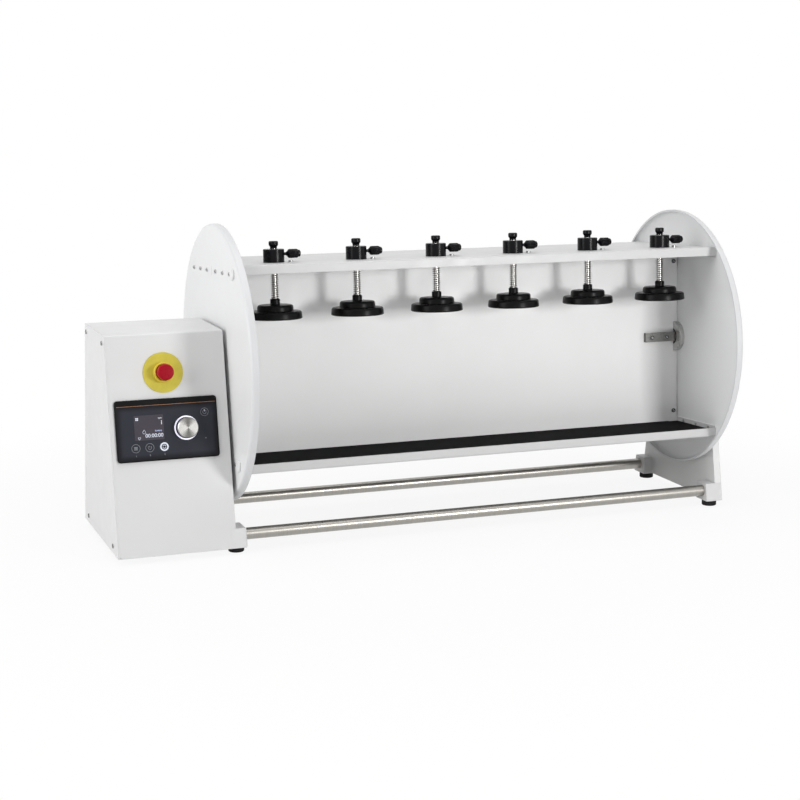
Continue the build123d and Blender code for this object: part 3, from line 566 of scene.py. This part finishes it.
def lettering(name, text, size, look, body, place, bold, thickness=0.05):
    """Text as a thin mesh; sizes in millimetres, bold is what each stroke gains on a side."""
    curve = bpy.data.curves.new(name + "_curve", "FONT")
    curve.body = text
    curve.size = size * MM
    curve.extrude = thickness * MM
    curve.offset = bold * MM
    curve.align_x = "CENTER"
    curve.align_y = "CENTER"
    source = bpy.data.objects.new(name + "_curve", curve)
    bpy.context.scene.collection.objects.link(source)
    mesh = bpy.data.meshes.new_from_object(source)
    bpy.data.objects.remove(source)
    mesh.name = name
    return piece_of(name, mesh, look, body, place)


# ---------------------------------------------------------------- clamps, millimetres from the rotor's axis
pad_level = 70.0
pad_top = 100.0
tray_inner = 153.0
tray_outer = 155.0
clamp_top = 175.0
clamp_screw_level = 167.4
rod_radius = 4.0
rod_start = 88.0


def pad_mesh():
    """Round rubber-faced pad: flared rim, stepped plate and hub."""
    rim, step, hub = 39.5, 27.5, 7.5
    plate, shelf = pad_level + 12, pad_level + 21.5
    profile = [(0, pad_level), (rim - 1.3, pad_level), (rim + 1, pad_level + 0.8),
               (rim + 1, pad_level + 2.4), (rim, plate), (step, plate), (step - 0.4, shelf),
               (hub, shelf), (hub, pad_top), (rod_radius, pad_top)]
    corners = {2: 0.6, 3: 0.7, 4: 3.4, 5: 1.0, 6: 4.2, 7: 1.2, 8: 0.9}
    return turned(rounded(profile, corners), 96)


def knob_mesh():
    """Pull knob with a waisted neck."""
    neck, head = 5.3, 7.2
    start, waist, top = clamp_top + 0.5, clamp_top + 3.5, clamp_top + 12
    profile = [(rod_radius, start), (neck, start), (neck, waist), (head, waist + 2.5), (head, top - 1),
               (head - 1.5, top), (0, top)]
    return turned(rounded(profile, {2: 0.8, 3: 0.8, 4: 0.8, 5: 0.5}), 48)


def rod_mesh():
    """Rod from inside the pad's hub to inside the knob."""
    end = clamp_top + 4.5
    return turned([(0, rod_start), (rod_radius, rod_start), (rod_radius, end), (0, end)], 32)


def grip_mesh():
    """Ribbed barrel of a thumbscrew along Z, with a thin neck and a cone.

    Each section has its radius, its distance from the clamp's axis and the depth between its ribs."""
    ribs, steps = 16, 6
    bm = bmesh.new()
    sections = [(2.2, 4.5, 0), (2.2, 18.9, 0), (3.8, 20.9, 0), (6.3, 23.0, 0.4),
                (6.9, 24.2, 0.9), (6.9, 35.4, 0.9), (6.3, 37.2, 0.5), (5.4, 38.0, 0.1),
                (5.2, 40.2, 0), (3.8, 41.4, 0), (0.01, 41.4, 0)]
    rings = []
    for radius, height, depth in sections:
        ring = []
        for i in range(ribs * steps):
            a = 2 * math.pi * i / (ribs * steps)
            r = (radius - depth * (0.5 + 0.5 * math.cos(a * ribs)) ** 2) * MM
            ring.append(bm.verts.new(round_point(r, a, height * MM)))
        rings.append(ring)
    sleeve(bm, rings)
    bm.faces.new(rings[0])
    return bm


def coil_mesh():
    """Compression spring between a pad's hub and the tray, with one closed turn at each end."""
    wire, middle_radius, turns, closed, sides, per_turn = 0.55, 5.5, 18.0, 1.0, 6, 18
    low, high = pad_top + wire, tray_inner - wire
    bm = bmesh.new()
    rings = []
    for i in range(int(turns * per_turn) + 1):
        turn = i / per_turn
        lift = min(max((turn - closed) / (turns - 2 * closed), 0), 1)
        a = 2 * math.pi * turn
        out = Vector((math.cos(a), math.sin(a), 0))
        centre = out * middle_radius + Vector((0, 0, low + (high - low) * lift))
        ring = []
        for k in range(sides):
            b = 2 * math.pi * k / sides
            point = centre + out * wire * math.cos(b) + Vector((0, 0, wire * math.sin(b)))
            ring.append(bm.verts.new(point * MM))
        rings.append(ring)
    sleeve(bm, rings)
    bm.faces.new(rings[0])
    bm.faces.new(rings[-1])
    return bm


def make_clamps():
    """Pad, rod, knob, spring and thumbscrew of all twelve clamps."""
    meshes = {}
    for side, number in all_clamps:
        place = at_clamp(side, clamp_x(side, number))
        across = place @ Matrix.Translation((0, 0, clamp_screw_level * MM)) @ facing_right
        plunger, screw = f"plunger_{side}_{number}", f"thumbscrew_{side}_{number}"
        made = {}
        for kind, build, look, body, where in (
                ("pad", pad_mesh, pad_black, plunger, place),
                ("knob", knob_mesh, knob_black, plunger, place),
                ("rod", rod_mesh, clamp_steel, plunger, place),
                ("coil", coil_mesh, spring_steel, "rotor", place),
                ("grip", grip_mesh, knob_black, screw, across)):
            name = f"clamp_{kind}_{side}_{number}"
            if kind in meshes:
                made[kind] = piece_of(name, meshes[kind], look, body, where)
            else:
                made[kind] = piece(name, build(), look, body, where)
                meshes[kind] = made[kind].data
        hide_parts(plunger)
        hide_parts(plunger)
        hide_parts(plunger)
        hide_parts(screw)
        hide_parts("clamp_springs")
        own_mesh(made["coil"])


# ---------------------------------------------------------------- screws and plugs, in millimetres
screw_head = 2.2
disc_levels = (-142, 142)                       # the disc screws' rows above and below the rotor's axis
disc_screw_rows = (26.5, 68, 109.5)
partition_inset, partition_levels, partition_face = 11, (-127, 127), -3.7
tongue_steps, tongue_face = (27.5, 55), -10.7   # along the tongue, and its screw heads' faces
guide_screw_aside = 26.5                        # from the clamp's axis
plug_row, plug_shade_radius = -125, 10.2


def screw_places():
    """Faces of the rotor's screw heads that show, and whether each is a large one."""
    rotor_left, rotor_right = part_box("left_disc")[0].x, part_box("right_disc")[1].x
    head = screw_head * MM
    for level in disc_levels:
        for row in disc_screw_rows:
            for y in (-row, row):
                yield on_rotor(rotor_left - head, y, level, facing_left), False
                yield on_rotor(rotor_right + head, y, level, facing_right), False
    for end, inward in ((rotor_left, MM), (rotor_right, -MM)):
        for level in partition_levels:
            yield on_rotor(end + inward * partition_inset, partition_face, level, facing_front), True
        for along in tongue_steps:
            yield on_rotor(end + inward * along, tongue_face, 0, facing_front), True
    for side, number in all_clamps:
        place = at_clamp(side, clamp_x(side, number) + guide_screw_aside * MM)
        yield place @ Matrix.Translation((0, 0, tray_outer * MM + head)), False


def joined(shapes):
    """One bmesh of several placed ones, given as (bmesh, matrix) pairs."""
    total = bmesh.new()
    for bm, place in shapes:
        bmesh.ops.transform(bm, matrix=place, verts=bm.verts)
        mesh = bpy.data.meshes.new("part")
        bm.to_mesh(mesh)
        bm.free()
        total.from_mesh(mesh)
        bpy.data.meshes.remove(mesh)
    return total


def slotted_face(place):
    """Painted shade on the bevel and slot of a large screw head, as placed shapes."""
    bevel = flat_disc(3.4, 2.1, 0.08, 32)
    slot = stroke([(-1.6, -1.6), (1.6, 1.6)], 0.8, 0.08)
    return [(bevel, place), (slot, place)]


def make_screw_faces():
    """Painted shade: dark sockets in the rotor's small screw heads, and dark bevels and slots on the large
    ones.
    """
    shapes = []
    for place, large in screw_places():
        # Painted shade: a dark hexagon for each small socket.
        shapes += slotted_face(place) if large else [(flat_disc(1.6, 0, 0.06, 6), place)]
    faces = piece("screw_recess_shade", joined(shapes), recess_shade_black, "rotor")


def make_hub_gaps():
    """Painted shade: a dark ring where each shaft stub enters its hub flange."""
    ends = [vertex.co.x for vertex in nodes["hub_flanges"].data.vertices]
    left_face, right_face = max(x for x in ends if x < 0), min(x for x in ends if x > 0)
    rings = []
    for x, turn in ((left_face, facing_right), (right_face, facing_left)):
        rings.append((flat_disc(13.2, 10.4, 0.06), on_rotor(x, 0, 0, turn)))
    dark_marks = piece("hub_shade_rings", joined(rings), recess_shade_black, "rotor")


def make_side_screws():
    """Low round heads of the side plate's screws, with painted shade on their slots and bevels."""
    inset, height = 12, 1.3
    profile = [(0, 0), (3.5, 0), (3.5, 0.9), (3.1, height), (0, height)]
    top_row = (62, housing_top / MM - inset)
    low_row = (98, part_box("side_plate")[0].z / MM + inset)
    heads, faces = [], []
    for across, level in (top_row, low_row):
        for side in (-1, 1):
            place = Matrix.Translation((housing_left, side * across * MM, level * MM)) @ facing_left
            heads.append((turned(profile, 32), place))
            faces += slotted_face(place @ Matrix.Translation((0, 0, height * MM)))
    for name, shapes, look in (("heads", heads, screw_steel), ("faces", faces, recess_shade_black)):
        screws = piece("side_screw_" + name, joined(shapes), look, "base")


def make_disc_marks():
    """Painted shade as a dark arc at the front of each disc's plugs, and the fine slot by the partition's
    edge.
    """
    dark_marks = []
    for x, turn in ((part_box("left_disc")[0].x, facing_left), (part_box("right_disc")[1].x, facing_right)):
        for level in disc_levels:
            # Painted shade: the arc covers only the front side of the plug.
            arc = stroke(circle(plug_shade_radius, -130, -50, 10), 0.8)
            dark_marks.append((arc, on_rotor(x, plug_row, level, turn)))
            dark_marks.append((stroke([(-7, 0), (7, 0)], 0.3), on_rotor(x, 0, level, turn)))
    marks = piece("disc_plug_shade_and_seams", joined(dark_marks), shade_and_seam_grey, "rotor")


# ---------------------------------------------------------------- control panel, places as in on_front
field_place, line_place, screen_place = (84.5, 145), (85, 105), (57.5, 137.5)
power_place = (141.7, 119.9)
dial_place = (112.8, 141.4)
touch_down, touches = 167.0, (36.1, 56.7, 78.3)
on_field, on_screen = 0.06, 0.12                # heights of the marks over the glass


def make_panel():
    """Printed field, screen, touch fields and their marks on the glass."""
    face = panel_thickness / MM

    def mark(name, bm, look, across, down, lift=on_field):
        piece("panel_" + name, bm, look, "base", on_front(across, down, face + lift))

    def write(name, text, size, look, across, down, bold):
        place = on_front(across, down, face + on_screen)
        lettering("panel_" + name, text, size, look, "base", place, bold)

    mark("field", slab(149, 79, 2.5, on_field), field_glass, *field_place, 0)
    mark("line", slab(148, 0.6), ink_orange, *line_place, 0)
    mark("screen", slab(43.5, 36.5, 1), screen_glass, *screen_place, 0)
    write("time", "00:00:00", 7.8, ink_white, 64.6, 149.6, 0.04)
    write("time_unit", "h:min:s", 3.6, ink_grey_blue, 71.2, 142.6, 0.08)
    write("speed", "1", 8.4, ink_white, 76.3, 131.2, 0.08)
    write("speed_unit", "rpm", 3.4, ink_white, 74.2, 124.2, 0.05)
    for i in (-1, 1):
        for j in (-1, 1):
            name = f"menu_{'lr'[i > 0]}{'dt'[j > 0]}"
            mark(name, slab(1.8, 1.8, 0, 0.05), ink_white, 40 + 1.1 * i, 124.4 - 1.1 * j, on_screen)
    drop = circle(2.1, -225, 45, 12) + [(0, 3.7)]
    mark("drop", stroke(drop, 0.45, closed=True), ink_white, 49.8, 144.2, on_screen)
    heart = [(0, -1.9), (1.9, 0.2), (1.4, 1.4), (0, 0.9), (-1.4, 1.4), (-1.9, 0.2)]
    mark("lamp", stroke(heart, 0.5, closed=True), ink_white, 42.3, 152.6, on_screen)
    mark("dot", flat_disc(0.7), ink_grey, 141.3, 158.5)

    for number, across in enumerate(touches, start=1):
        lit = number == len(touches)
        inner, look = (4.2, ink_white) if lit else (5.9, ink_grey)
        mark(f"touch_{number}", flat_disc(6.4, inner), look, across, touch_down)
        write(f"touch_number_{number}", str(number), 3.2, ink_grey, across, touch_down + 11.3, 0.05)
    for k in (-1, 0, 1):
        mark(f"list_{k + 1}", slab(5.2, 1.0), ink_grey, touches[0], touch_down + 1.7 * k)
    mark("timer", stroke(circle(2.6, 110, 400, 14), 0.6), ink_grey, touches[1], touch_down)
    mark("timer_hand", stroke([(0, 0), (0, 1.8)], 0.5), ink_grey, touches[1], touch_down)
    for k in (0, 180):
        mark(f"turn_{k}", stroke(circle(2.4, 20 + k, 150 + k, 8), 0.9), ink_white, touches[2], touch_down)
    mark("power", flat_disc(6.0, 5.6), ink_grey, *power_place)
    mark("power_arc", stroke(circle(2.7, -235, 55, 14), 0.5), ink_grey, *power_place)
    mark("power_bar", stroke([(0, 1.2), (0, 3.4)], 0.6), ink_white, *power_place)


def make_dial():
    """Dial with a black skirt and a finely turned aluminium face, and the lit ring round it."""
    glass_face = panel_thickness / MM
    base = glass_face + 1.6
    top, radius, face = base + 12.4, 15.4, 1.6
    ring_place = on_front(*dial_place, glass_face)
    ring = piece("dial_ring", flat_disc(17.9, 15.9, 1.0, 96), ring_lit, "base", ring_place)
    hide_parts("light_ring")
    skirt = [(0, base), (radius - 0.8, base), (radius - 0.4, base + 0.4), (radius - 0.4, top - face),
             (0, top - face)]
    cap = [(0, top - face), (radius, top - face), (radius, top - 1), (radius - 0.9, top), (0, top)]
    for name, profile, look in (("dial_skirt", skirt, dial_black), ("dial_cap", cap, dial_metal)):
        part = piece(name, turned(profile, 96), look, "dial", on_front(*dial_place))
        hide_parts("dial")


# ---------------------------------------------------------------- stage, light and camera
def background_ray(tree):
    """1 for camera, glossy and transmission rays, which see the white background."""
    path = tree.nodes.new("ShaderNodeLightPath")
    total = path.outputs["Is Camera Ray"]
    for name in ("Is Glossy Ray", "Is Transmission Ray"):
        larger = tree.nodes.new("ShaderNodeMath")
        larger.operation = "MAXIMUM"
        tree.links.new(total, larger.inputs[0])
        tree.links.new(path.outputs[name], larger.inputs[1])
        total = larger.outputs["Value"]
    return total


shadow_reach, white_from = 0.5, 1.1             # distances from the middle, in metres
shadow_share, fill_light = 0.9, 0.28


def make_stage():
    """White floor that keeps a faint shadow, and a white world."""
    bpy.ops.mesh.primitive_plane_add(size=40, location=(0, 0, 0))
    floor = bpy.context.object
    floor.name = "floor"
    material = bpy.data.materials.new("floor_white")
    material.use_nodes = True
    tree = material.node_tree
    tree.nodes.remove(tree.nodes["Principled BSDF"])
    output = tree.nodes["Material Output"]
    diffuse = tree.nodes.new("ShaderNodeBsdfDiffuse")
    diffuse.inputs["Color"].default_value = (0.8, 0.8, 0.8, 1)
    glow = tree.nodes.new("ShaderNodeEmission")
    glow.inputs["Color"].default_value = (1, 1, 1, 1)
    place = tree.nodes.new("ShaderNodeNewGeometry")
    distance = tree.nodes.new("ShaderNodeVectorMath")
    distance.operation = "LENGTH"
    tree.links.new(place.outputs["Position"], distance.inputs[0])
    fade = tree.nodes.new("ShaderNodeMapRange")
    fade.interpolation_type = "SMOOTHSTEP"
    fade.inputs["From Min"].default_value = shadow_reach
    fade.inputs["From Max"].default_value = white_from
    fade.inputs["To Min"].default_value = shadow_share
    fade.inputs["To Max"].default_value = 1.0
    tree.links.new(distance.outputs["Value"], fade.inputs["Value"])
    share = tree.nodes.new("ShaderNodeMath")
    share.operation = "MULTIPLY"
    tree.links.new(background_ray(tree), share.inputs[0])
    tree.links.new(fade.outputs["Result"], share.inputs[1])
    mix = tree.nodes.new("ShaderNodeMixShader")
    tree.links.new(share.outputs["Value"], mix.inputs[0])
    tree.links.new(diffuse.outputs[0], mix.inputs[1])
    tree.links.new(glow.outputs[0], mix.inputs[2])
    tree.links.new(mix.outputs[0], output.inputs["Surface"])
    floor.data.materials.append(material)

    world = bpy.data.worlds.new("studio")
    bpy.context.scene.world = world
    world.use_nodes = True
    tree = world.node_tree
    back = tree.nodes["Background"]
    level = tree.nodes.new("ShaderNodeMapRange")
    level.inputs["To Min"].default_value = fill_light
    level.inputs["To Max"].default_value = 1.0
    tree.links.new(background_ray(tree), level.inputs["Value"])
    tree.links.new(level.outputs["Result"], back.inputs["Strength"])
    back.inputs["Color"].default_value = (1, 1, 1, 1)


def softbox(name, place, target, size, power):
    """Rectangular area lamp aimed at a point."""
    lamp = bpy.data.lights.new(name, "AREA")
    lamp.shape = "RECTANGLE"
    lamp.size, lamp.size_y = size
    lamp.energy = power
    obj = bpy.data.objects.new(name, lamp)
    bpy.context.scene.collection.objects.link(obj)
    obj.location = place
    direction = Vector(target) - Vector(place)
    obj.rotation_mode = "QUATERNION"
    obj.rotation_quaternion = direction.to_track_quat("-Z", "Y")


def make_lights():
    """A small key from the right, and large soft lamps overhead and on the left."""
    softbox("key", (0.87, -2.2, 0.62), (0, 0, 0.3), (0.45, 0.45), 21.5)
    softbox("over", (0, -0.2, 2.8), (0, 0, 0.2), (3.0, 2.4), 44)
    softbox("left", (-3.0, -0.6, 1.2), (-0.2, 0, 0.3), (2.0, 2.0), 50)


def make_camera():
    """The photograph's viewpoint, from the front and a little to the left, in an 800 by 800 frame."""
    frame_size = 800
    camera = bpy.data.cameras.new("camera")
    camera.sensor_width = 36
    camera.lens = 79.15
    camera.shift_x = -28.2 / frame_size
    camera.shift_y = 10.4 / frame_size
    camera.clip_end = 50
    obj = bpy.data.objects.new("camera", camera)
    bpy.context.scene.collection.objects.link(obj)
    yaw, pitch = 0.3671, 0.1885
    ahead = Vector((math.sin(yaw) * math.cos(pitch), math.cos(yaw) * math.cos(pitch), -math.sin(pitch)))
    obj.location = (-0.9733, -2.6104, 0.7052)
    obj.rotation_mode = "QUATERNION"
    obj.rotation_quaternion = ahead.to_track_quat("-Z", "Y")
    bpy.context.scene.camera = obj


def corners(bounds):
    return [list(corner) for corner in bounds]


bpy.context.scene.view_settings.view_transform = "Standard"
dress_nodes()
make_clamps()
make_screw_faces()
make_hub_gaps()
make_side_screws()
make_disc_marks()
make_panel()
make_dial()
make_stage()
make_lights()
make_camera()
